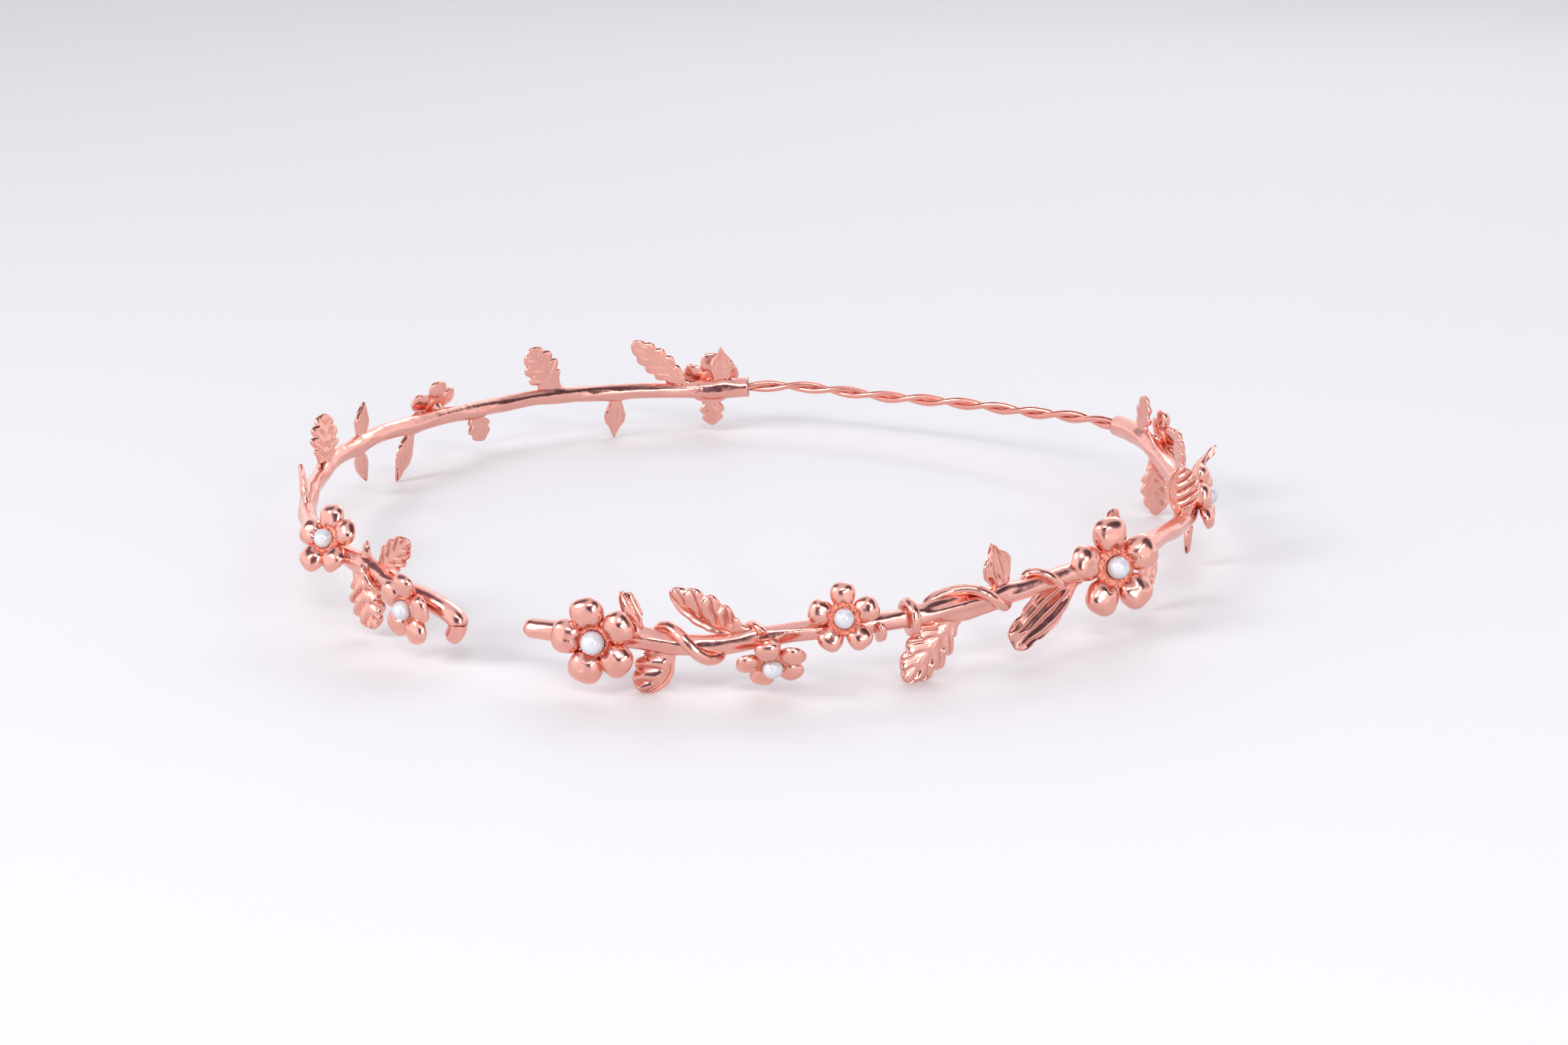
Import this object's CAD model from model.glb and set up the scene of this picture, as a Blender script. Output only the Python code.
# %% [markdown]
# # A flower crown of cast vine, pearls and twisted wire
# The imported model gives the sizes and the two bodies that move. Everything shown here is built around it:
# each stem, leaf, tendril, flower, pearl and strand of wire takes the place of the solid with the same name,
# so the crown keeps its measured shape and gains the detail of a polished casting.

# %% Load the frame
import math
import random

import bmesh
import bpy
from mathutils import Matrix, Vector, noise


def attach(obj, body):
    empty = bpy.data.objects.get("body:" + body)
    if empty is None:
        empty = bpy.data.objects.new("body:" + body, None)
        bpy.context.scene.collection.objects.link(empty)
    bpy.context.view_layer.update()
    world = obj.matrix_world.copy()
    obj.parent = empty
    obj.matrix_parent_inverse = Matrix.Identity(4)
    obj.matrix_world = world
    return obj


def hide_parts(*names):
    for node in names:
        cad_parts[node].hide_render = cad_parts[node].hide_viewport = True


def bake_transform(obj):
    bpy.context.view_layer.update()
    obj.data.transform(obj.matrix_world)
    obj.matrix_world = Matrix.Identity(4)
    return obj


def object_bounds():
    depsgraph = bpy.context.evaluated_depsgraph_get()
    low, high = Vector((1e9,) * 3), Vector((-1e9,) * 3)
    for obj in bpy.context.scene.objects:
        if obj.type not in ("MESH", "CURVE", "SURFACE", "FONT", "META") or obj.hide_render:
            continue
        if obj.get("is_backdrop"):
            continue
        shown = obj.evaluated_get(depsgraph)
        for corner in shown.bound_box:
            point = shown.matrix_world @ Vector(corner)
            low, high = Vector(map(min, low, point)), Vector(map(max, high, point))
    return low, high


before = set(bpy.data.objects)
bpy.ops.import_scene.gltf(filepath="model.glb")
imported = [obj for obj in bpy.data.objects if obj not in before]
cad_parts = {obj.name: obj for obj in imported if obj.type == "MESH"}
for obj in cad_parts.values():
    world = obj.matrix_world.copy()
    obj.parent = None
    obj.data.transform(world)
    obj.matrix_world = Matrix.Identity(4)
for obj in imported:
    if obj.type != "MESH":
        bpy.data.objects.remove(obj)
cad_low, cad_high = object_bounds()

scene = bpy.context.scene

# %% [markdown]
# ## Measures of the crown
# The crown is a hoop that is open in front. A place on it is easiest to give as `s`, the length in
# millimetres along the hoop from the middle of the gap, on the right or the left garland. The tables repeat
# the model's own lines: how each stem rises and falls, and how it strays out from a true circle.

# %% Sizes and lines of the crown, in millimetres
MM = 0.001
RIGHT, LEFT = 1, -1
SIDE_NAME = {RIGHT: "right", LEFT: "left"}
HOOP_RADIUS = 87
STEM_HEIGHT = 11
STEM_RADIUS = 1.75
SOCKET_RADIUS = 2.245
SOCKET_REACH = 7
SOCKET_TAPER = 6

# Each row: s, rise over STEM_HEIGHT, share of the stem's thickness, out from the hoop.
STEM_LINES = {
    RIGHT: [
        (7, -1.8, 1, 0), (20, -1.5, 1, 0), (31, -1.9, 1, 0), (38, -2.7, 1.05, 0), (44, -2.1, 1, 0),
        (52, -0.5, 0.95, 0), (62, -0.1, 0.95, 0), (76, 0.6, 1, 0), (86, 1.2, 1.2, 0), (95, 1.9, 1, 0),
        (105, 2.5, 1, 0), (118, 2.2, 1, 0), (141, 1.5, 1, 0.5), (155, 0.1, 1, 1.4), (166, -0.5, 1, 2),
        (189, 0.5, 1.05, 0.8), (200, 2.6, 1.05, 0.5), (210, 3.3, 1, 1), (217, 3.1, 1, 1),
    ],
    LEFT: [
        (7, -1.6, 1, 1), (10, -0.6, 1, 0.8), (14, 0.6, 1, 0.6), (20, 0.4, 1, 0.3), (25, 1.2, 1, 0),
        (31, 2.4, 1, -0.3), (40, 2.2, 1, -0.5), (50, 2, 1, -0.8), (65, 1.6, 1, -1.8), (85, 0.6, 1, -2.6),
        (106, -0.1, 1, -1.2), (114, 0.8, 1, -0.3), (124, 0.5, 1, 0), (136, 1.2, 1.05, 0),
        (147, 0.7, 1.05, 0), (160, 0.4, 1, 0), (172, 0.4, 1, 0), (180, 0.7, 1, 0), (191, 0.1, 1.05, 0),
        (206, -0.4, 1, 0), (217, -1.1, 1, 0), (231, -0.4, 1, 0),
    ],
}
# The left stem's front end curls down: s, rise over STEM_HEIGHT, share of the stem's thickness.
HOOK = [(8.4, -6, 0.5), (7.6, -5.5, 0.85), (6.6, -4.4, 0.97), (6.2, -3.2, 1), (6.5, -2.2, 1)]
# The bend joins the stem's own line between these two values of s.
HOOK_ROOT, HOOK_END = 8.75, 10.5
STEM_END = {side: rows[-1][0] for side, rows in STEM_LINES.items()}
print("stems run to s =", STEM_END)

# %% [markdown]
# ## Finding a place on the garland
# Every place comes from the same look-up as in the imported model, so leaves and flowers sit where its solids
# do. It still leaves a faint kink near each row, and polished metal would show that as a broken highlight,
# so only the line that a stem is drawn along is averaged once more, over a millimetre or two.

# %% Helpers that turn s into a point
def lookup(rows, column, s):
    if s <= rows[0][0]:
        return rows[0][column]
    for before, after in zip(rows, rows[1:]):
        if s <= after[0]:
            share = (s - before[0]) / (after[0] - before[0])
            return before[column] + (after[column] - before[column]) * share
    return rows[-1][column]


def smooth(rows, column, s, reach):
    """The model's own look-up: one quarter before, one half here, one quarter after."""
    low, here, high = (lookup(rows, column, s + d) for d in (-reach, 0, reach))
    return (low + 2 * here + high) / 4


def clamp(x, low=0.0, high=1.0):
    return max(low, min(high, x))


def smoothstep(low, high, x):
    share = clamp((x - low) / (high - low))
    return share * share * (3 - 2 * share)


def place(side, s, out, z):
    turn = s / HOOP_RADIUS
    r = HOOP_RADIUS + out
    return Vector((side * r * math.sin(turn), -r * math.cos(turn), z))


def outward(side, s):
    return place(side, s, 1, 0) - place(side, s, 0, 0)


def stem_z(side, s):
    return STEM_HEIGHT + smooth(STEM_LINES[side], 1, s, 3)


def stem_out(side, s):
    return smooth(STEM_LINES[side], 3, s, 3)


def stem_r(side, s):
    plain = STEM_RADIUS * smooth(STEM_LINES[side], 2, s, 2)
    share = clamp((s - STEM_END[side] + SOCKET_REACH + SOCKET_TAPER) / SOCKET_TAPER)
    return plain + (max(plain, SOCKET_RADIUS) - plain) * share


def by_stem(side, s, out, rise):
    return place(side, s, stem_out(side, s) + out, stem_z(side, s) + rise)


print("right stem's middle at s = 100:", [round(x, 1) for x in by_stem(RIGHT, 100, 0, 0)])

# %% [markdown]
# ## Where the leaves, flowers and tendrils grow
# The real crown is built from separate castings soldered onto the two stems. No two leaves are the same,
# so each row gives one casting: where it is rooted, which way it points, its length and width, and which of
# five sculpted patterns it carries. `lobed` has rounded lobes that overlap, `feather` has slim lobes with
# fine grooves, `folded` has long ridges that run from its stalk to its tip, `fan` spreads into fingers and
# `scaled` has scales along one edge and folds along the other.

# %% Tables of the castings
# Leaf: side, s, slope, length (0 rests on the surface), width, lobes, roll, lift, pattern, and how deep its
# tip is split. For a fan, the last number is how much shorter one edge is.
LEAVES = [
    (RIGHT, 28.6, 112, 9.5, 4.2, 2, 62, 0, "fan", -0.15),
    (RIGHT, 33.5, -124, 0, 6.8, 3, 8, 1, "scaled", 0),
    (RIGHT, 47, 147, 16.3, 6.6, 4, -12, 1, "scaled", 0),
    (RIGHT, 83.9, -133.5, 0, 8.4, 4, 6, 1, "feather", 0),
    (RIGHT, 92.8, 107, 10.2, 6.8, 4, 10, 0, "folded", 0),
    (RIGHT, 112.3, -153, 22, 7.6, 4, 8, 1.2, "folded", 0.20),
    (RIGHT, 121.5, 97, 10, 5, 3, 0, 0, "folded", 0.12),
    (RIGHT, 137, -113, 11.5, 8.5, 4, 0, 0, "folded", 0),
    (RIGHT, 155, 98, 11.5, 6.4, 5, -72, 0, "scaled", 0),
    (RIGHT, 172, 88, 11, 4.6, 3, 0, 5, "folded", 0),
    (RIGHT, 163, -98, 8, 4.6, 3, 0, 0, "folded", 0),
    (RIGHT, 198.5, -97, 0, 6.2, 4, -68, 0, "feather", 0),
    (RIGHT, 179.5, 58, 12, 6.4, 4, 0, 0, "lobed", 0),
    (RIGHT, 207, 102, 9.6, 7, 3, 0, 0, "lobed", 0),
    (LEFT, 34, -112, 12.6, 7.6, 4, 26, 0, "lobed", 0),
    (LEFT, 27.3, 140, 13, 5.6, 4, -10, 0, "feather", 0),
    (LEFT, 31.2, 98, 4.8, 2.2, 1, 0, 0, "folded", 0),
    (LEFT, 72, 38, 12, 6, 3, 0, 1, "folded", 0),
    (LEFT, 107, 75, 12, 7.6, 4, 34, 0, "lobed", 0),
    (LEFT, 127, 74, 9, 5, 3, 0, 0, "folded", 0),
    (LEFT, 126, -72, 9, 4.6, 3, 0, 0, "folded", 0),
    (LEFT, 146, -118, 0, 5.2, 4, 0, 0, "folded", 0),
    (LEFT, 164, -74, 7.8, 6, 3, 0, 0, "lobed", 0),
    (LEFT, 186, 120, 13.5, 8.4, 4, 0, 0, "lobed", 0),
    (LEFT, 200, -94, 0, 5, 4, 0, 0, "folded", 0),
    (LEFT, 218, 139, 18.5, 6.4, 5, 0, 0, "feather", 0),
    (LEFT, 225, 92, 10, 5.4, 3, 0, 0, "folded", 0),
    (LEFT, 222.5, -90, 8.6, 5.6, 3, 0, 0, "lobed", 0),
]
# Flower size: width over the petals, width of a petal, pearl's diameter
SMALL, MEDIUM, LARGE, BROAD = (12.3, 4.3, 3.5), (13.2, 4.9, 3.5), (15.2, 5.8, 4.1), (18, 6.3, 4.1)
# Flower: side, s, pin's angle round the stem, extra reach, pitch, swing, first petal, size
FLOWERS = [
    (RIGHT, 21.2, 2, 0, 3, 0, 105, LARGE),
    (RIGHT, 50, -50, 1.4, -40, 0, 105, SMALL),
    (RIGHT, 61.9, 45, 0, 17, -12, 94, SMALL),
    (RIGHT, 116.5, 2, 0, 14, -25, 94, BROAD),
    (RIGHT, 165, 50, 0.4, 10, 0, 90, MEDIUM),
    (RIGHT, 202, 20, 0, 12, 0, 90, SMALL),
    (LEFT, 15, -26, 0, -6, 8, 84, MEDIUM),
    (LEFT, 41.5, 50, 0, 30, -20, 100, MEDIUM),
    (LEFT, 154.5, 45, 0, 28, 0, 90, SMALL),
    (LEFT, 222.5, 25, 0, 16, 0, 90, MEDIUM),
]
# Tendril: side, start, end, angle at start, angle at end, thickness, delay of its winding
TENDRILS = [
    (RIGHT, 30, 42.5, 110, -66, 2.1, 1),
    (RIGHT, 45.5, 49, 135, 40, 1.6, 1),
    (RIGHT, 68, 69, 5, -110, 1.8, 1),
    (RIGHT, 73.6, 74.8, 180, -170, 1.8, 1),
    (RIGHT, 76.8, 93.6, 122, -50, 1.9, 1.7),
    (RIGHT, 97, 106, 115, -35, 1.5, 1),
    (LEFT, 24, 29.5, -110, 35, 1.6, 1),
]


def named(rows, kind):
    """Pairs each row with its piece's name, numbered along each garland from the gap."""
    count = {RIGHT: 0, LEFT: 0}
    out = []
    for row in rows:
        count[row[0]] += 1
        out.append((f"{SIDE_NAME[row[0]]}_{kind}_{count[row[0]]}", row))
    return out


print(len(LEAVES), "leaves,", len(FLOWERS), "flowers,", len(TENDRILS), "tendrils")

# %% [markdown]
# ## Wrapping a grid into a shape
# Stems, leaves and tendrils are all closed skins. A grid is an easy start: bmesh makes it, one side is
# wrapped round the piece and the other runs along it. The seam and the two ends then meet point on point,
# and merging the doubles closes them. Box modelling would work too, but a wrapped grid keeps its rows along
# the piece, which is what ridges and veins follow.

# %% Helpers that make a mesh piece
def wrapped(bm, around, along, shape, material=0):
    """Adds a grid to bm, with shape(share round, share along) giving each point in millimetres."""
    made = bmesh.ops.create_grid(bm, x_segments=around, y_segments=along, size=0.5)["verts"]
    for v in made:
        v.co = shape(v.co.x + 0.5, v.co.y + 0.5) * MM
    for f in {f for v in made for f in v.link_faces}:
        f.material_index = material
    bmesh.ops.remove_doubles(bm, verts=made, dist=2e-7)


def finished(name, bm, materials, body):
    """Turns bm into the piece that stands for the solid of that name."""
    bmesh.ops.dissolve_degenerate(bm, edges=bm.edges, dist=1e-8)
    bmesh.ops.recalc_face_normals(bm, faces=bm.faces)
    for f in bm.faces:
        f.smooth = True
    mesh = bpy.data.meshes.new(name)
    bm.to_mesh(mesh)
    bm.free()
    for m in materials:
        mesh.materials.append(m)
    piece = bpy.data.objects.new("crown." + name, mesh)
    scene.collection.objects.link(piece)
    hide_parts(name)
    if body:
        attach(piece, body)
    return piece


# Relief fades away where a tube closes to a radius smaller than this.
PLAIN_RADIUS = 0.4


def swept(bm, centres, radii, outwards, around, relief=None, upright=True):
    """A tube along centres. relief(i, angle) is added to the radius, with angle from outwards to up."""
    last = len(centres) - 1
    frames = []
    for i, centre in enumerate(centres):
        along = (centres[min(i + 1, last)] - centres[max(i - 1, 0)]).normalized()
        across = (outwards[i] - along * outwards[i].dot(along)).normalized()
        third = along.cross(across)
        if upright and third.z < 0:
            third = -third
        frames.append((across, third))

    def shape(u, v):
        i = round(v * last)
        angle = 2 * math.pi * (u % 1)
        bump = relief(i, angle) if relief else 0
        r = radii[i] + bump * clamp(radii[i] / PLAIN_RADIUS)
        across, third = frames[i]
        return centres[i] + r * (math.cos(angle) * across + math.sin(angle) * third)

    wrapped(bm, around, last, shape)


def body_of(side):
    return SIDE_NAME[side] + "_half"


print("helpers ready")

# %% [markdown]
# ## The surface of cast metal
# A casting is never as even as turned metal. Its skin has slow waves left from the wax, fine orange peel from
# the mould and a few small pits. All the metal here shares that skin, so it is a node group: it takes how
# coarse and how strong the waves and the peel are, and gives a normal. A second group gives the tone of the
# plating, which looks deeper and redder in recesses, where light is reflected twice and the polishing wheel
# doesn't reach. They read Object coordinates, so a pattern has its real size in metres.

# %% Node group for the skin of a casting
def new_group(name, inputs, outputs):
    group = bpy.data.node_groups.new(name, "ShaderNodeTree")
    for label, kind, value in inputs:
        socket = group.interface.new_socket(label, in_out="INPUT", socket_type=kind)
        socket.default_value = value
    for label, kind in outputs:
        group.interface.new_socket(label, in_out="OUTPUT", socket_type=kind)
    return group, group.nodes.new("NodeGroupInput"), group.nodes.new("NodeGroupOutput")


def add(tree, kind, **settings):
    node = tree.nodes.new(kind)
    for key, value in settings.items():
        if key in node.inputs:
            node.inputs[key].default_value = value
        else:
            setattr(node, key, value)
    return node


# The colour sockets of a Mix node: its two inputs and its result.
MIX_A, MIX_B, MIX_RESULT = 6, 7, 2


def ranged(tree, source, low, high, to_low, to_high, kind="LINEAR"):
    """Turns a value between low and high into one between to_low and to_high."""
    node = add(tree, "ShaderNodeMapRange", interpolation_type=kind)
    for key, value in (("From Min", low), ("From Max", high), ("To Min", to_low), ("To Max", to_high)):
        node.inputs[key].default_value = value
    tree.links.new(source, node.inputs["Value"])
    return node.outputs["Result"]


def blended(tree, share, first, second):
    """Mixes two colours, each a socket or four numbers."""
    mix = add(tree, "ShaderNodeMix", data_type="RGBA")
    tree.links.new(share, mix.inputs["Factor"])
    for socket, colour in ((MIX_A, first), (MIX_B, second)):
        if isinstance(colour, tuple):
            mix.inputs[socket].default_value = colour
        else:
            tree.links.new(colour, mix.inputs[socket])
    return mix.outputs[MIX_RESULT]


def cast_skin_group():
    group, given, result = new_group(
        "cast_skin",
        [("Wave Scale", "NodeSocketFloat", 420.0), ("Wave Height", "NodeSocketFloat", 0.00006),
         ("Peel Scale", "NodeSocketFloat", 2600.0), ("Peel Height", "NodeSocketFloat", 0.000006)],
        [("Normal", "NodeSocketVector")],
    )
    link = group.links.new
    coords = add(group, "ShaderNodeTexCoord").outputs["Object"]
    height = None
    for scale, depth, detail in (("Wave Scale", "Wave Height", 2.0), ("Peel Scale", "Peel Height", 3.0)):
        tex = add(group, "ShaderNodeTexNoise", Detail=detail, Roughness=0.5)
        link(coords, tex.inputs["Vector"])
        link(given.outputs[scale], tex.inputs["Scale"])
        times = add(group, "ShaderNodeMath", operation="MULTIPLY")
        link(tex.outputs["Fac"], times.inputs[0])
        link(given.outputs[depth], times.inputs[1])
        if height is None:
            height = times.outputs[0]
        else:
            both = add(group, "ShaderNodeMath", operation="ADD")
            link(height, both.inputs[0])
            link(times.outputs[0], both.inputs[1])
            height = both.outputs[0]
    bump = add(group, "ShaderNodeBump", Strength=1.0, Distance=1.0)
    link(height, bump.inputs["Height"])
    link(bump.outputs["Normal"], result.inputs["Normal"])
    return group


CAST_SKIN = cast_skin_group()
print("group", CAST_SKIN.name, "takes", [s.name for s in CAST_SKIN.interface.items_tree])

# %% Node group for the tone of the plating
# The roughness of open metal, from and to, and what a hollow adds to it.
OPEN_ROUGHNESS, HOLLOW_ROUGHNESS = (0.15, 0.26), 0.16


def plating_group():
    group, given, result = new_group(
        "plating_tone",
        [("Open", "NodeSocketColor", (0.9, 0.4, 0.3, 1)), ("Deep", "NodeSocketColor", (0.7, 0.15, 0.08, 1)),
         ("Patch Scale", "NodeSocketFloat", 160.0)],
        [("Color", "NodeSocketColor"), ("Roughness", "NodeSocketFloat")],
    )
    link = group.links.new
    coords = add(group, "ShaderNodeTexCoord").outputs["Object"]
    # Recesses: pointiness is 0.5 on a flat surface and falls below it in a hollow.
    pointiness = add(group, "ShaderNodeNewGeometry").outputs["Pointiness"]
    hollow = ranged(group, pointiness, 0.40, 0.49, 1.0, 0.0, "SMOOTHSTEP")
    patch = add(group, "ShaderNodeTexNoise", Detail=3.0, Roughness=0.55)
    link(coords, patch.inputs["Vector"])
    link(given.outputs["Patch Scale"], patch.inputs["Scale"])
    both = add(group, "ShaderNodeMath", operation="MAXIMUM")
    link(hollow, both.inputs[0])
    link(ranged(group, patch.outputs["Fac"], 0.3, 0.7, 0.0, 0.16), both.inputs[1])
    tone = blended(group, both.outputs[0], given.outputs["Open"], given.outputs["Deep"])
    link(tone, result.inputs["Color"])
    # The wheel leaves open surfaces smoother than hollows, and never quite evenly.
    fine = add(group, "ShaderNodeTexNoise", Scale=900.0, Detail=2.0)
    link(coords, fine.inputs["Vector"])
    duller = add(group, "ShaderNodeMath", operation="MULTIPLY_ADD")
    link(hollow, duller.inputs[0])
    duller.inputs[1].default_value = HOLLOW_ROUGHNESS
    link(ranged(group, fine.outputs["Fac"], 0.3, 0.7, *OPEN_ROUGHNESS), duller.inputs[2])
    link(duller.outputs[0], result.inputs["Roughness"])
    return group


PLATING = plating_group()
print("group", PLATING.name, "gives", [s.name for s in PLATING.interface.items_tree if s.in_out == "OUTPUT"])

# %% [markdown]
# ## The finishes
# Rose gold is a thin plating with copper in it. As a metal it has no colour of its own but tints what it
# reflects, so its Metallic is 1 and its base colour is the tint. The cup under each pearl is left as cast:
# grainy, matte and redder. The wire is drawn, so it is smoother along its length. An imitation pearl is a
# white bead under a pearly lacquer, which is a milky base under a clear coat.

# %% Metal finishes
def metal(name, open_tint, deep_tint, waves, peel, roughness=None):
    material = bpy.data.materials.new(name)
    material.use_nodes = True
    tree = material.node_tree
    shader = tree.nodes["Principled BSDF"]
    shader.inputs["Metallic"].default_value = 1.0
    tone = tree.nodes.new("ShaderNodeGroup")
    tone.node_tree = PLATING
    tone.inputs["Open"].default_value = (*open_tint, 1)
    tone.inputs["Deep"].default_value = (*deep_tint, 1)
    tree.links.new(tone.outputs["Color"], shader.inputs["Base Color"])
    if roughness is None:
        tree.links.new(tone.outputs["Roughness"], shader.inputs["Roughness"])
    else:
        shader.inputs["Roughness"].default_value = roughness
    skin = tree.nodes.new("ShaderNodeGroup")
    skin.node_tree = CAST_SKIN
    skin.inputs["Wave Scale"].default_value, skin.inputs["Wave Height"].default_value = waves
    skin.inputs["Peel Scale"].default_value, skin.inputs["Peel Height"].default_value = peel
    tree.links.new(skin.outputs["Normal"], shader.inputs["Normal"])
    return material


ROSE = (0.865, 0.450, 0.380)
ROSE_DEEP = (0.62, 0.20, 0.14)
stem_gold = metal("rose_gold_stem", ROSE, ROSE_DEEP, (420, 0.00010), (2600, 0.000008))
leaf_gold = metal("rose_gold_leaf", ROSE, ROSE_DEEP, (700, 0.000025), (2800, 0.000008))
petal_gold = metal("rose_gold_petal", (0.875, 0.450, 0.375), ROSE_DEEP, (260, 0.00005), (3200, 0.000003))
cup_gold = metal("rose_gold_cup", (0.85, 0.31, 0.22), (0.70, 0.15, 0.09), (1500, 0.00006), (4200, 0.00003),
                 roughness=0.36)
wire_gold = metal("rose_gold_wire", (0.86, 0.39, 0.32), ROSE_DEEP, (500, 0.00003), (3600, 0.000006))
print("metals:", [m.name for m in bpy.data.materials if m.name.startswith("rose")])

# %% Pearl finish
def pearl_material():
    material = bpy.data.materials.new("imitation_pearl")
    material.use_nodes = True
    tree = material.node_tree
    shader = tree.nodes["Principled BSDF"]
    for key, value in (("Roughness", 0.22), ("IOR", 1.55), ("Coat Weight", 1.0), ("Coat Roughness", 0.06),
                       ("Coat IOR", 1.8), ("Subsurface Weight", 0.12), ("Subsurface Scale", 0.0006)):
        shader.inputs[key].default_value = value
    cloud = add(tree, "ShaderNodeTexNoise", Scale=520.0, Detail=3.0)
    tree.links.new(add(tree, "ShaderNodeTexCoord").outputs["Object"], cloud.inputs["Vector"])
    ramp = add(tree, "ShaderNodeValToRGB")
    ramp.color_ramp.elements[0].position = 0.35
    ramp.color_ramp.elements[0].color = (0.70, 0.71, 0.74, 1)
    ramp.color_ramp.elements[1].position = 0.65
    ramp.color_ramp.elements[1].color = (0.80, 0.80, 0.82, 1)
    tree.links.new(cloud.outputs["Fac"], ramp.inputs["Fac"])
    # The lacquer turns faintly blue where it is seen at a slant.
    slant = add(tree, "ShaderNodeLayerWeight", Blend=0.35)
    colour = blended(tree, slant.outputs["Facing"], ramp.outputs["Color"], (0.38, 0.42, 0.50, 1))
    tree.links.new(colour, shader.inputs["Base Color"])
    return material


pearl_white = pearl_material()
print("pearl:", pearl_white.name)

# %% [markdown]
# ## The two stems
# Each stem is one vine, cast solid and bent to the hoop. It swells where a leaf or a flower is rooted, and
# long shallow ridges run along it like the grain of a twig. A bevelled curve would be quicker, but it can't
# carry ridges, so the stem is a tube whose radius changes with the place along it and the angle round it.

# %% Swellings and grain of the stems
LEAF_SWELL, FLOWER_SWELL = 0.42, 0.30
SWELL_LENGTH, SWELL_ANGLE, SWELL_REACH = 2.3, 0.85, 7


def roots_of(side):
    """Places where something is soldered on: s, the angle round the stem and the swelling's height."""
    found = [(row[1], math.radians(90 if math.sin(math.radians(row[2])) > 0 else -90), LEAF_SWELL)
             for row in LEAVES if row[0] == side]
    found += [(row[1], math.radians(row[2]), FLOWER_SWELL) for row in FLOWERS if row[0] == side]
    return found


ROOTS = {side: roots_of(side) for side in (RIGHT, LEFT)}


def stem_relief(side, s, angle):
    """Height of the stem's surface over its plain round, in millimetres."""
    round_the_stem = Vector((s * 0.16, 1.1 * math.cos(angle), 1.1 * math.sin(angle) + 7 * side))
    twig = 0.16 * noise.noise(round_the_stem)
    grain = 0.05 * math.sin(5 * angle + s * 0.21 + 2.2 * noise.noise(Vector((s * 0.09, 3.3, side))))
    dents = 0.035 * noise.noise(Vector((s * 0.75, 2.3 * math.cos(angle), 2.3 * math.sin(angle))))
    swell = 0
    for at, around, height in ROOTS[side]:
        if abs(s - at) < SWELL_REACH:
            off = math.remainder(angle - around, 2 * math.pi)
            swell += height * math.exp(-((s - at) / SWELL_LENGTH) ** 2 - (off / SWELL_ANGLE) ** 2)
    # Between the third flower and the fourth, the right stem looks like a bundle of four shoots.
    bundle = 0
    if side == RIGHT and 74 < s < 97:
        fade = smoothstep(75, 79, s) * (1 - smoothstep(90, 96, s))
        bundle = 0.20 * fade * math.cos(4 * angle - (s - 76) * 0.2)
    return twig + grain + dents + swell + bundle


def end_round(distance, radius):
    """Share of the radius left near a rounded end."""
    return math.sqrt(max(0.0, 1 - (1 - clamp(distance / radius)) ** 2))


print("roots:", {SIDE_NAME[k]: len(v) for k, v in ROOTS.items()})

# %% Build the stems
STEM_STEP = 0.5
STEM_AROUND = 44
TIP_LENGTH = {RIGHT: 1.5, LEFT: 1.2}
TIP_RINGS = 10
# The mouth of a stem's wire socket, ring by ring: how far along the stem, and share of its radius. The end
# turns over a lip and goes in again, which leaves the mouth that the wire comes out of.
MOUTH_LIP = 0.5
MOUTH = [(0.25, 0.97), (0.42, 0.90), (0.50, 0.80), (0.42, 0.71), (0.1, 0.67), (-1.2, 0.66), (-1.3, 0)]


def between(a, b, c, d, t):
    """A number on the smooth line from b to c, where a comes before them and d after."""
    bend, turn = 2 * a - 5 * b + 4 * c - d, 3 * b - a - 3 * c + d
    return 0.5 * (2 * b + (c - a) * t + bend * t * t + turn * t ** 3)


def through(points, steps):
    """Points on a smooth line through the given ones, each a tuple of numbers."""
    out = []
    for i in range(len(points) - 1):
        p = [points[max(0, min(len(points) - 1, i + k))] for k in (-1, 0, 1, 2)]
        for j in range(steps):
            out.append(tuple(between(a, b, c, d, j / steps) for a, b, c, d in zip(*p)))
    out.append(points[-1])
    return out


def stem_stations(side):
    """s, centre and radius along a stem from its front end, with its wire socket at the back."""
    rows = []
    if side == LEFT:
        bend_out = stem_out(side, HOOK_ROOT)
        bend = [(s, bend_out, STEM_HEIGHT + rise, STEM_RADIUS * share) for s, rise, share in HOOK]
        bend += [(s, stem_out(side, s), stem_z(side, s), stem_r(side, s)) for s in (HOOK_ROOT, HOOK_END)]
        rows = [(s, place(side, s, out, z), r) for s, out, z, r in through(bend, 8)[:-1]]
        start = HOOK_END
    else:
        start = STEM_LINES[side][0][0]
    end = STEM_END[side]
    count = round((end - start) / STEM_STEP)
    for i in range(count + 1):
        s = start + (end - start) * i / count
        spread = min(1.5, s - start, end - s)
        near = [by_stem(side, s + spread * k / 2, 0, 0) for k in (-2, -1, 0, 1, 2)]
        rows.append((s, sum(near, Vector()) / len(near), stem_r(side, s)))
    return rows


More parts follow.
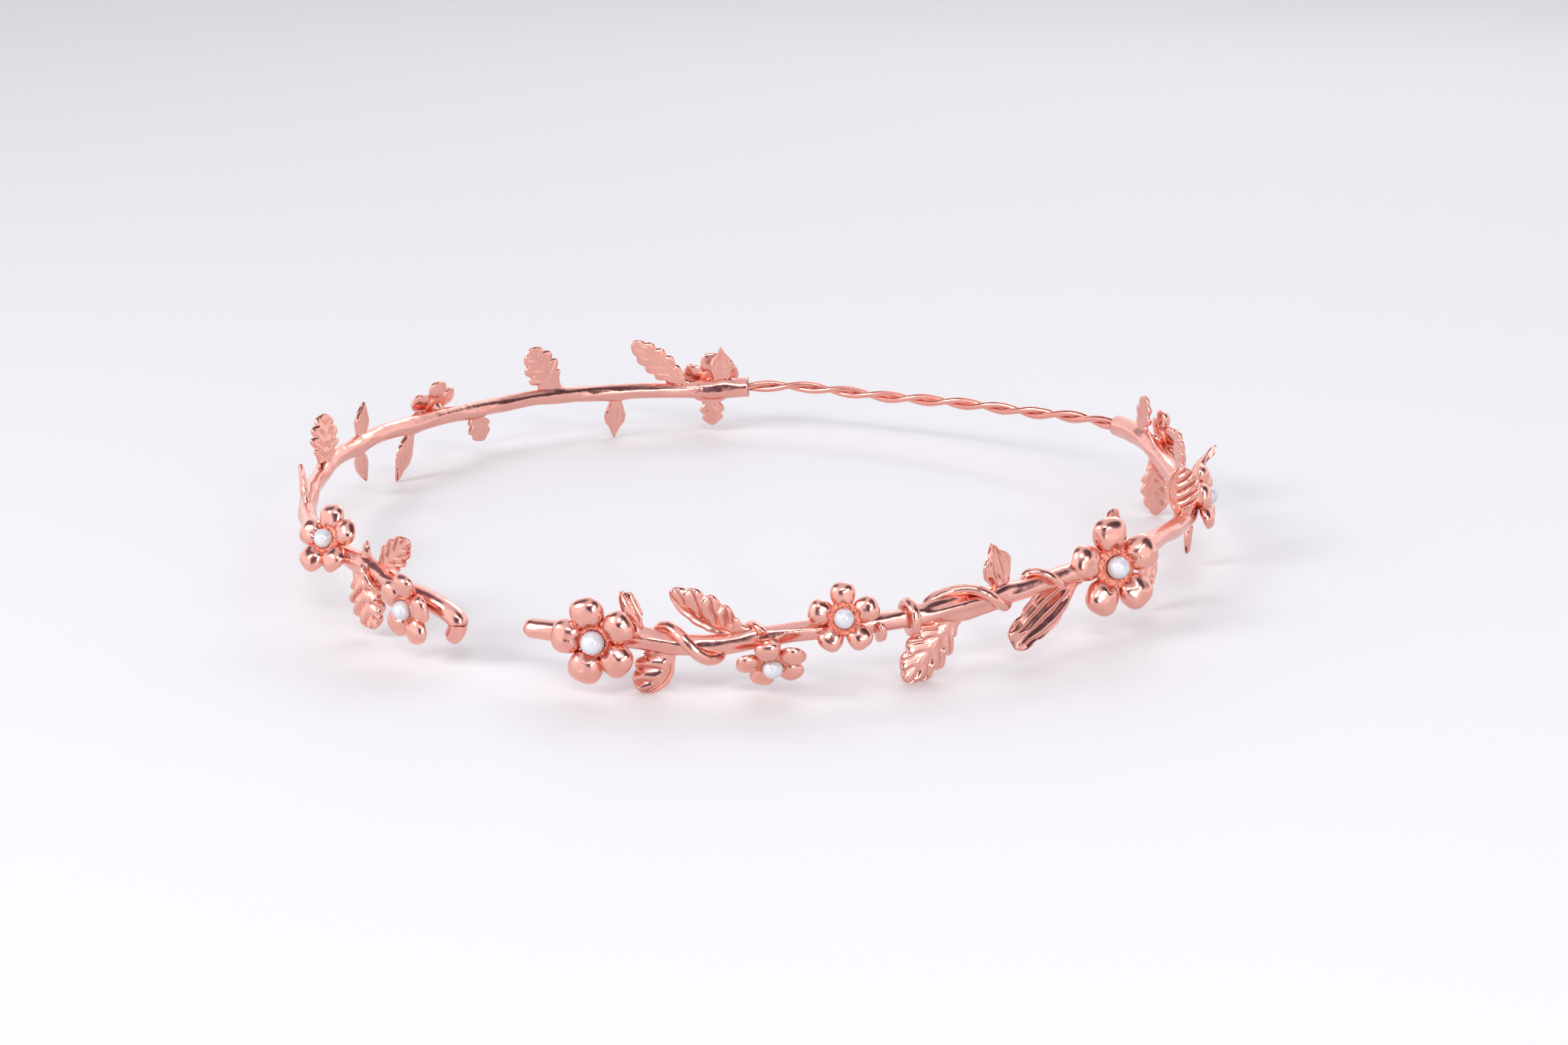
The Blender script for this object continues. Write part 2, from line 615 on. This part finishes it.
def build_stem(side):
    rows = stem_stations(side)
    travelled, walk = 0.0, []
    for i, row in enumerate(rows):
        if i:
            travelled += (row[1] - rows[i - 1][1]).length
        walk.append(travelled)
    tip = TIP_LENGTH[side]
    fine = [k / TIP_RINGS * tip for k in range(TIP_RINGS)]
    centres, radii, at = [], [], []

    def sample(distance):
        i = 0
        while i < len(walk) - 2 and walk[i + 1] < distance:
            i += 1
        t = clamp((distance - walk[i]) / max(walk[i + 1] - walk[i], 1e-9))
        a, b = rows[i], rows[i + 1]
        return a[0] + (b[0] - a[0]) * t, a[1].lerp(b[1], t), a[2] + (b[2] - a[2]) * t

    spots = [d * d / tip for d in fine] + [w for w in walk if w > tip]
    for d in spots:
        s, centre, r = sample(d)
        centres.append(centre)
        radii.append(r * end_round(d, tip))
        at.append(s)
    mouth = radii[-1]
    onwards = (centres[-1] - centres[-2]).normalized()
    for ahead, share in MOUTH:
        centres.append(rows[-1][1] + onwards * (ahead - MOUTH_LIP))
        radii.append(mouth * share)
        at.append(rows[-1][0])
    bm = bmesh.new()
    swept(bm, centres, radii, [outward(side, s) for s in at], STEM_AROUND,
          lambda i, angle: stem_relief(side, at[i], angle) * (1 - smoothstep(-5, -1, at[i] - STEM_END[side])))
    return finished(SIDE_NAME[side] + "_stem", bm, [stem_gold], body_of(side))


for side in (RIGHT, LEFT):
    stem = build_stem(side)
    print(stem.name, len(stem.data.polygons), "faces")

# %% [markdown]
# ## The tendrils
# A tendril is a thin shoot that winds round the stem. On the real crown each one is part of the wax before
# casting or is soldered on so neatly that its ends melt into the stem. So its ends taper and sink in, and
# its middle stands proud. Sweeping a round section along a helix makes that in one step.

# %% Build the tendrils
TENDRIL_STEPS, TENDRIL_AROUND = 72, 20
TENDRIL_TIP = 0.45
# How deep a tendril lies in the stem, in millimetres, and how much deeper its ends sink, in thicknesses
BEDDED, END_SINK = 0.10, 0.34


def build_tendril(name, row):
    side, first, last, from_angle, to_angle, thick, delay = row
    centres, radii, outwards = [], [], []
    for i in range(TENDRIL_STEPS + 1):
        share = i / TENDRIL_STEPS
        s = first + (last - first) * share
        angle = math.radians(from_angle + (to_angle - from_angle) * smoothstep(0, 1, share ** delay))
        from_end = min(share, 1 - share)
        swell = TENDRIL_TIP + (1 - TENDRIL_TIP) * math.sin(math.pi * min(0.5, 3 * from_end))
        r = thick / 2 * swell * end_round(from_end, 0.06)
        sunk = END_SINK * thick * (1 - smoothstep(0, 0.28, from_end)) + BEDDED
        away = stem_r(side, s) + thick / 2 * swell - sunk
        radial = math.cos(angle) * outward(side, s) + Vector((0, 0, math.sin(angle)))
        centres.append(by_stem(side, s, 0, 0) + away * radial)
        radii.append(r)
        outwards.append(radial)

    def relief(i, angle):
        spot = Vector((centres[i].x, centres[i].y, 2 * centres[i].z + math.cos(angle)))
        return 0.05 * math.cos(3 * angle + i * 0.09) + 0.07 * noise.noise(spot)

    bm = bmesh.new()
    swept(bm, centres, radii, outwards, TENDRIL_AROUND, relief, upright=False)
    return finished(name, bm, [stem_gold], body_of(side))


for name, row in named(TENDRILS, "tendril"):
    build_tendril(name, row)
print(len(TENDRILS), "tendrils built")

# %% [markdown]
# ## The leaves
# Each leaf is a thin casting with its veins and lobes raised on the front and only hinted at on the back. It
# could be a flat cut-out given thickness, but the bright ridges need real height to catch light.
# So a leaf is a closed skin: half of each ring is the front, half is the back, and a small function gives
# the relief of each pattern.

# %% How a leaf is outlined and sculpted
# Outline: share of the length from the stalk, share of the half width
LEAF_OUTLINE = [(0, 0.3), (0.16, 0.34), (0.3, 0.72), (0.45, 0.97), (0.6, 1), (0.78, 0.86), (0.9, 0.6),
                (0.97, 0.34), (1, 0.14)]
LEAF_THICKNESS = 1.6
LEAF_THINNING = 0.45
LEAF_AROUND, LEAF_ALONG = 84, 96
STALK_HALF, STALK_SHARE = 1.0, 0.2
RESTING_GAP = 0.02
# How far a lobe sweeps towards the tip between the midrib and the edge, as a share of the leaf's length
SWEEP = {"lobed": 0.26, "feather": 0.42, "scaled": 0.34, "folded": 0.26, "fan": 0.26}
# How deep the outline is cut in between two lobes, as a share of the half width
EDGE_CUT = {"lobed": 0.26, "feather": 0.22, "scaled": 0.26, "folded": 0.06, "fan": 0}
FOLDED_EDGE_CUT = 0.05
# The lobes of one side stand this share of a lobe ahead of the other side's.
STAGGER = 0.18
# Across a scaled leaf, -1 to 1, its scales end and its folds begin here.
SCALES_END = 0.42


def resting_length(row):
    """A leaf of length 0 reaches down to the surface."""
    side, s, slope, length, width = row[:5]
    if length:
        return length
    lip = LEAF_OUTLINE[-1][1] * width / 2 * abs(math.cos(math.radians(slope)))
    return (stem_z(side, s) - lip) / -math.sin(math.radians(slope))


def lobe(phase):
    """Height over one lobe, 0 to 1: it swells slowly and drops sharply behind the next."""
    f = phase % 1
    return max(0.0, math.sin(math.pi * f ** 1.5)) ** 0.62


def finger(lobes, x):
    """Height across a leaf whose ridges fan out from its stalk: 1 on a ridge and 0 between two."""
    return abs(math.cos(math.pi * lobes * (x + 1 - 1 / lobes) / 2)) ** 0.6


def leaf_relief(pattern, lobes, t, x):
    """Height of the front over its plain round, as a share of the thickness."""
    away = abs(x)
    rib = 0.30 * math.exp(-(x / 0.13) ** 2) * (1 - 0.5 * t)
    if pattern == "fan":
        return 0.62 * (finger(lobes, x) - 0.40)
    if pattern == "folded":
        fan = x * (0.75 + 0.35 * t)
        ridges = 0.5 + 0.5 * math.cos(math.pi * fan * lobes)
        return 0.56 * (ridges - 0.45)
    if pattern == "scaled":
        away = clamp((SCALES_END - x) / (1 + SCALES_END))
        folds = 0.15 * math.cos(2 * math.pi * 2.1 * (x - SCALES_END)) * smoothstep(0.36, 0.48, x)
        return 0.72 * lobe(lobes * (t - SWEEP[pattern] * away ** 1.3)) * away ** 0.3 + 1.4 * folds - 0.18
    phase = lobes * (t - SWEEP[pattern] * away ** 1.3) + (STAGGER if x > 0 else 0)
    height = lobe(phase) * away ** 0.4
    if pattern == "feather":
        grooves = -0.14 * (1 - abs(math.sin(2 * math.pi * phase))) ** 3 * smoothstep(0.12, 0.3, away)
        return 0.44 * height + rib + grooves - 0.10
    veins = 0.045 * math.cos(2 * math.pi * 2.5 * phase) * smoothstep(0.2, 0.6, away)
    return 0.66 * height + rib + veins - 0.20


def leaf_half_width(row, share, x):
    width, lobes, pattern, split = row[4], row[5], row[8], row[9]
    outline = smooth(LEAF_OUTLINE, 1, share, 0.03)
    if split and pattern != "fan":
        outline += (0.80 - outline) * smoothstep(0.72, 0.95, share)
    if pattern == "folded" and not split:
        outline *= 1 - 0.30 * smoothstep(0.55, 0.95, share)
    if pattern == "fan":
        outline = 0.30 + 0.66 * smoothstep(0.12, 0.78, share)
    t = clamp((share - STALK_SHARE) / (1 - STALK_SHARE))
    cut = FOLDED_EDGE_CUT if pattern == "scaled" and x >= 0 else EDGE_CUT[pattern]
    depth = cut * smoothstep(0, 0.15, t)
    phase = lobes * (t - SWEEP[pattern]) + (STAGGER if x > 0 and pattern != "scaled" else 0)
    half = width / 2 * outline * (1 + 0.04 - depth * (1 - lobe(phase)))
    return max(half, STALK_HALF * (1 - smoothstep(STALK_SHARE * 0.7, STALK_SHARE * 1.5, share)))


def build_leaf(name, row, seed):
    side, root, slope, _, width, lobes, roll, lift, pattern, split = row
    slope, roll = math.radians(slope), math.radians(roll)
    length = resting_length(row)
    stalk = stem_r(side, root)

    def shape(u, v):
        angle = 2 * math.pi * (u % 1)
        x, front = math.cos(angle), math.sin(angle)
        share = v
        t = clamp((share - STALK_SHARE) / (1 - STALK_SHARE))
        notch = split * math.exp(-(x / 0.34) ** 2) * smoothstep(0.55, 1, share)
        if pattern == "folded":
            notch += 0.15 * abs(x) ** 2.4 * smoothstep(0.55, 1, share)
        if pattern == "fan":
            shorter = abs(split) * ((math.copysign(x, x * split) + 1) / 2) ** 2
            notch = 0.30 * (1 - finger(lobes, x)) + 0.16 * abs(x) ** 3 + shorter
            notch *= smoothstep(0.35, 1, share)
        far = length * share * (1 - notch)
        half = leaf_half_width(row, share, x)
        half += 0.45 * math.exp(-((share * length - stalk) / 0.8) ** 2)
        closing = end_round((1 - share) * length, 0.5) * end_round(share * length, 0.5)
        thick = LEAF_THICKNESS * (1 - LEAF_THINNING * share * share)
        edge = math.sqrt(max(0.0, 1 - abs(x) ** 3.2))
        grown = smoothstep(0.02, 0.22, t)
        carving = leaf_relief(pattern, lobes, t, x) * grown * (1 - 0.6 * smoothstep(0.9, 1, t))
        lumpy = 0.05 * noise.noise(Vector((seed * 9.1 + 3 * x, 7 * share, 0.7 * front)))
        if front >= 0:
            w = thick * edge * (0.34 + carving + lumpy)
        else:
            w = -thick * edge * (0.40 + 0.18 * carving + lumpy)
        flank = half * x * closing
        w *= closing
        flat = flank * math.cos(roll) - w * math.sin(roll)
        out = flank * math.sin(roll) + w * math.cos(roll)
        s = root + far * math.cos(slope) - flat * math.sin(slope)
        z = stem_z(side, root) + far * math.sin(slope) + flat * math.cos(slope)
        return place(side, s, stem_out(side, s) + out + lift * share * share, max(z, RESTING_GAP))

    bm = bmesh.new()
    wrapped(bm, LEAF_AROUND, LEAF_ALONG, shape)
    return finished(name, bm, [leaf_gold], body_of(side))


for seed, (name, row) in enumerate(named(LEAVES, "leaf")):
    build_leaf(name, row, seed)
print(len(LEAVES), "leaves built")

# %% [markdown]
# ## The flowers
# Five puffed petals stand round a cup, and the pearl sits in the cup over a peg. A petal begins as a sphere
# from bmesh, which has even rows to push about: it is squared off a little, puffed, drawn in where it meets
# the cup and creased there. The cup is left rough, because the glue that holds the pearl needs a tooth.
# The neck under it runs down into the hole drilled in the stem.

# %% Where a flower sits and how a petal is shaped
PETALS = 5
FLOWER_STANDOFF = 1.6
PETAL_TILT = 12
PETAL_RIM = 0.14
PETAL_PUFF = 0.3
CUP_THICKNESS = 1.3
CUP_UNDER_PETAL = 1.1
NECK_RADIUS = 1.2
NECK_START = 0.4
PEARL_SINK = 0.45
# How square a petal is: 2 would be round.
SQUARENESS = 2.7
# The cup is a rough hollow round the pearl, a lip that the petals hide, and a rounded back. Each point is a
# share and a height. The share is of the pearl's diameter up to the lip and of the cup's radius behind it.
CUP_LIP = 0.53
CUP_FLOOR, CUP_BACK = -0.1, -1.36
CUP_INSIDE = [(0.43, 0.42), (0.475, 0.74), (CUP_LIP, 0.92), (0.61, 0.94)]
CUP_OUTSIDE = [(0.93, 0.7), (1, 0.3), (1, -0.4), (0.9, -0.95), (0.6, -1.3)]


def flower_frame(row):
    """From a flower's own axes, with Z through its pearl, to the crown's, in millimetres."""
    side, s, pin, extra, pitch, swing = row[:6]
    away = stem_r(side, s) + FLOWER_STANDOFF + extra
    pin = math.radians(pin)
    origin = by_stem(side, s, away * math.cos(pin), away * math.sin(pin))
    turn = side * (s / HOOP_RADIUS + math.radians(swing))
    return (Matrix.Translation(origin) @ Matrix.Rotation(turn, 4, "Z")
            @ Matrix.Rotation(math.radians(90 - pitch), 4, "X"))


def petal_point(unit, width, inner, draw):
    """A point of a unit sphere becomes a point of a petal that lies flat, with its outer end on +X."""
    flat = math.hypot(unit.x, unit.y)
    angle = math.atan2(unit.y, unit.x)
    square = abs(math.cos(angle)) ** SQUARENESS + abs(math.sin(angle)) ** SQUARENESS
    square **= -1 / SQUARENESS
    reach = width / 2 * square * (flat ** 0.90 if flat > 0 else 0)
    x, y = reach * math.cos(angle), reach * math.sin(angle)
    if x < 0:
        y *= 1 - 0.22 * min(1, -x / (width / 2)) ** 1.6
        x *= inner
    crease = math.exp(-(y / (0.09 * width)) ** 2) * smoothstep(0.12, 0.8, -x / (width / 2))
    if unit.z > 0:
        z = width * (PETAL_PUFF + 0.08) * unit.z ** 0.95
        z -= 0.12 * width * crease * min(1, 3 * unit.z)
    else:
        z = width * PETAL_RIM * unit.z
    bump = noise.noise(Vector((x * 0.55 + draw, y * 0.55, z * 0.5)))
    return Vector((x, y, z + 0.035 * width * bump * unit.z))


def build_flower(name, row, seed):
    side, first, (width, petal, pearl) = row[0], row[6], row[7]
    chance = random.Random(seed * 17 + 5)
    to_crown = flower_frame(row)
    ring = (width - petal) / 2
    cup = ring - petal / 2 + CUP_UNDER_PETAL
    inner = min(1.0, (ring - pearl * CUP_LIP) / (petal / 2))
    bm = bmesh.new()
    for i in range(PETALS):
        ball = bmesh.ops.create_uvsphere(bm, u_segments=56, v_segments=32, radius=1)["verts"]
        own = petal * chance.uniform(0.985, 1.05)
        slant = PETAL_TILT + chance.uniform(-3, 3)
        around = math.radians(first + i * 360 / PETALS + chance.uniform(-2, 2))
        to_flower = (Matrix.Rotation(around, 4, "Z") @ Matrix.Translation((ring, 0, 0))
                     @ Matrix.Rotation(math.radians(-slant), 4, "Y"))
        draw = chance.uniform(0, 40)
        for v in ball:
            v.co = to_crown @ to_flower @ petal_point(v.co.copy(), own, inner, draw) * MM

    profile = [(pearl * share, z) for share, z in CUP_INSIDE] + [(cup * share, z) for share, z in CUP_OUTSIDE]
    walk = through([(0, CUP_FLOOR), *profile, (0, CUP_BACK)], 8)

    def cup_shape(u, v):
        r, z = walk[round(v * (len(walk) - 1))]
        angle = 2 * math.pi * (u % 1)
        x, y = max(r, 0) * math.cos(angle), max(r, 0) * math.sin(angle)
        grain = noise.noise(Vector((x * 3.1 + seed, y * 3.1, z * 3.1)))
        grain += 0.6 * noise.noise(Vector((x * 6.3, y * 6.3 + seed, z * 6.3)))
        rough = 0.24 * grain * smoothstep(pearl * 0.40, pearl * 0.52, r) * (1 if z > -0.2 else 0.2)
        return to_crown @ Vector((x, y, z + rough))

    wrapped(bm, 120, len(walk) - 1, cup_shape, material=1)

    # The neck: from inside the stem up into the cup, spread where the solder runs.
    base = by_stem(side, row[1], 0, 0)
    top = to_crown @ Vector((0, 0, -CUP_THICKNESS / 2))
    along = (top - base).normalized()
    across = along.orthogonal().normalized()
    third = along.cross(across)
    reach = (top - base).length
    stem_skin = stem_r(side, row[1])

    def neck_shape(u, v):
        angle = 2 * math.pi * (u % 1)
        up = NECK_START + (reach - NECK_START) * v
        solder = 0.5 * math.exp(-((up - stem_skin) / 0.6) ** 2)
        flare = 0.4 * smoothstep(reach - 0.9, reach, up)
        r = 0 if v in (0, 1) else NECK_RADIUS + solder + flare
        return base + along * up + r * (math.cos(angle) * across + math.sin(angle) * third)

    wrapped(bm, 32, 24, neck_shape, material=2)
    return finished(name, bm, [petal_gold, cup_gold, stem_gold], body_of(side))


for seed, (name, row) in enumerate(named(FLOWERS, "flower")):
    build_flower(name, row, seed)
print(len(FLOWERS), "flowers built")

# %% [markdown]
# ## The pearls
# An imitation pearl is a bead dipped in lacquer, so it is round but never perfectly so. A sphere from bmesh
# is pushed in and out by a few hundredths of a millimetre, just enough to bend its highlight.

# %% Build the pearls
def build_pearl(name, row, seed):
    radius = row[7][2] / 2
    to_crown = flower_frame(row) @ Matrix.Translation((0, 0, radius - PEARL_SINK))
    bm = bmesh.new()
    for v in bmesh.ops.create_uvsphere(bm, u_segments=64, v_segments=40, radius=1)["verts"]:
        uneven = 1 + 0.006 * noise.noise(v.co * 1.6 + Vector((seed * 5.0, 0, 0)))
        v.co = to_crown @ (v.co * radius * uneven) * MM
    return finished(name, bm, [pearl_white], body_of(row[0]))


for seed, (name, row) in enumerate(named(FLOWERS, "pearl")):
    build_pearl(name, row, seed)
print(len(FLOWERS), "pearls built")

# %% [markdown]
# ## The twisted wire
# Two strands are laid side by side and twisted, which keeps them together without solder and lets the crown
# flex. Each strand is a tube along a helix. It joins both garlands, so it bends when they spread: the skin
# near the right socket follows the right garland, and the skin near the left one follows the left.

# %% Build the two strands
# Each row: length past the right stem's end, how far out from the hoop, rise over STEM_HEIGHT.
WIRE_DIPS = [(0, 1, 3.1), (11, -0.4, 2.5), (27, -2.6, 1), (42, -3.7, 0.5), (55, -4, 0), (66, -3.7, -0.4),
             (77, -2.7, -0.1), (89, -1.2, 0.3), (99, 0, -0.4)]
WIRE_RADIUS = 0.675
STRAND_OFFSET = 0.70
TWIST_PITCH = 20
WIRE_REACH = 6.5
STRAND_STEP, STRAND_AROUND = 0.35, 24
WIRE_RUN = 2 * math.pi * HOOP_RADIUS - STEM_END[RIGHT] - STEM_END[LEFT]


def wire_middle(along):
    if along < 0:
        return by_stem(RIGHT, STEM_END[RIGHT] + along, 0, 0)
    if along > WIRE_RUN:
        return by_stem(LEFT, STEM_END[LEFT] + WIRE_RUN - along, 0, 0)
    at = along / WIRE_RUN * WIRE_DIPS[-1][0]
    return place(RIGHT, STEM_END[RIGHT] + along, smooth(WIRE_DIPS, 1, at, 3),
                 STEM_HEIGHT + smooth(WIRE_DIPS, 2, at, 3))


def build_strand(name, phase):
    count = round((WIRE_RUN + 2 * WIRE_REACH) / STRAND_STEP)
    alongs = [-WIRE_REACH + i * (WIRE_RUN + 2 * WIRE_REACH) / count for i in range(count + 1)]
    outs = [outward(RIGHT, STEM_END[RIGHT] + a) for a in alongs]
    centres, radii = [], []
    for i, a in enumerate(alongs):
        angle = phase + 2 * math.pi * a / TWIST_PITCH
        middle = sum((wire_middle(a + 0.8 * k) for k in (-1, 0, 1)), Vector()) / 3
        centres.append(middle + STRAND_OFFSET * (math.cos(angle) * outs[i] + Vector((0, 0, math.sin(angle)))))
        from_end = min(a - alongs[0], alongs[-1] - a)
        radii.append(WIRE_RADIUS * end_round(from_end, 0.5))
    bm = bmesh.new()
    swept(bm, centres, radii, outs, STRAND_AROUND)
    strand = finished(name, bm, [wire_gold], None)
    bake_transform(strand)
    return strand


for name, phase in (("wire_strand_a", 0), ("wire_strand_b", math.pi)):
    print(build_strand(name, phase).name, "runs", round(WIRE_RUN, 1), "mm between the sockets")

# %% [markdown]
# ## The surface, the light and the camera
# Polished metal shows its surroundings more than itself. So the crown lies on a wide, flat, pale surface in a
# bright room with soft lights. The room has three darker parts. The one behind the camera gives each petal
# its small dark patch, and the pale surface gives the warm even tone below it.

# %% Pale surface and room
def plain(name, colour, roughness):
    material = bpy.data.materials.new(name)
    material.use_nodes = True
    shader = material.node_tree.nodes["Principled BSDF"]
    shader.inputs["Base Color"].default_value = (*colour, 1)
    shader.inputs["Roughness"].default_value = roughness
    return material


FLOOR_HALF = 6.0
ROOM_STRENGTH = 1.42
bm = bmesh.new()
bmesh.ops.create_grid(bm, x_segments=1, y_segments=1, size=FLOOR_HALF)
floor_mesh = bpy.data.meshes.new("floor")
bm.to_mesh(floor_mesh)
bm.free()
floor = bpy.data.objects.new("floor", floor_mesh)
floor_mesh.materials.append(plain("pale_floor", (0.83, 0.83, 0.835), 0.6))
scene.collection.objects.link(floor)
floor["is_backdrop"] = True

world = bpy.data.worlds.new("studio")
world.use_nodes = True
scene.world = world
tree = world.node_tree
background = tree.nodes["Background"]
# The room is bright all round and a little dimmer high up. It has three dark patches: one behind the camera,
# which every petal mirrors, one high to the right and one high to the left.
direction = add(tree, "ShaderNodeTexCoord").outputs["Generated"]
parts = tree.nodes.new("ShaderNodeSeparateXYZ")
tree.links.new(direction, parts.inputs[0])
ramp = add(tree, "ShaderNodeValToRGB")
ramp.color_ramp.elements[0].position = 0.0
ramp.color_ramp.elements[0].color = (0.90, 0.90, 0.93, 1)
ramp.color_ramp.elements[1].position = 1.0
ramp.color_ramp.elements[1].color = (0.62, 0.62, 0.67, 1)
tree.links.new(parts.outputs["Z"], ramp.inputs["Fac"])
shade = ramp.outputs["Color"]
# Each dark patch: its direction, the cosines of its outer and inner edge, its colour.
DARK_PATCHES = [
    ((0.451, -0.831, 0.326), 0.865, 0.962, (0.05, 0.03, 0.07, 1)),
    ((0.700, 0.050, 0.712), 0.780, 0.930, (0.07, 0.05, 0.07, 1)),
    ((-0.62, -0.10, 0.778), 0.860, 0.960, (0.12, 0.09, 0.12, 1)),
]
for way, outer, inner_edge, dark in DARK_PATCHES:
    towards = add(tree, "ShaderNodeVectorMath", operation="DOT_PRODUCT")
    tree.links.new(direction, towards.inputs[0])
    towards.inputs[1].default_value = way
    patch = ranged(tree, towards.outputs["Value"], outer, inner_edge, 0.0, 1.0, "SMOOTHSTEP")
    shade = blended(tree, patch, shade, dark)
tree.links.new(shade, background.inputs["Color"])
background.inputs["Strength"].default_value = ROOM_STRENGTH
print("floor and room ready")

# %% Soft lights
def soft_light(name, place_at, aim, width, height, power):
    light = bpy.data.lights.new(name, "AREA")
    light.shape = "RECTANGLE"
    light.size, light.size_y = width, height
    light.energy = power
    lamp = bpy.data.objects.new(name, light)
    lamp.location = place_at
    lamp.rotation_euler = (Vector(aim) - Vector(place_at)).to_track_quat("-Z", "Y").to_euler()
    scene.collection.objects.link(lamp)
    lamp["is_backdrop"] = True


centre = (0.02, -0.02, 0.012)
soft_light("key", (-0.50, -0.70, 0.62), centre, 0.40, 0.30, 3.4)
soft_light("fill", (0.85, -0.45, 0.50), centre, 0.40, 0.30, 1.3)
soft_light("window", (0.70, -0.68, 0.23), centre, 0.14, 0.14, 1.0)
soft_light("overhead", (0.36, -0.68, 0.70), centre, 0.34, 0.10, 1.5)
soft_light("back", (-0.10, 0.95, 0.70), centre, 0.70, 0.25, 1.5)

# %% Camera
eye, target = Vector((0.2470, -0.4360, 0.1539)), Vector((0.01945, -0.01694, 0.0111))
lens = bpy.data.cameras.new("camera")
lens.lens = 60
lens.sensor_width = 36
lens.clip_start = 0.01
CAMERA_ROLL = -0.22
camera = bpy.data.objects.new("camera", lens)
camera.location = eye
look = (target - eye).to_track_quat("-Z", "Y").to_matrix().to_4x4()
camera.rotation_euler = (look @ Matrix.Rotation(math.radians(CAMERA_ROLL), 4, "Z")).to_euler()
scene.collection.objects.link(camera)
scene.camera = camera
scene.view_settings.view_transform = "Standard"
print("camera", round((target - eye).length, 4), "m away")

# %% [markdown]
# ## Last checks
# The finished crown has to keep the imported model's size, so both boxes are measured and written down before
# the table of pieces is made.

# %% Measure and finish
made_low, made_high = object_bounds()
for axis, low, high, mine_low, mine_high in zip("XYZ", cad_low, cad_high, made_low, made_high):
    print(axis, f"packed {low / MM:.1f} to {high / MM:.1f}, made {mine_low / MM:.1f} to {mine_high / MM:.1f}")
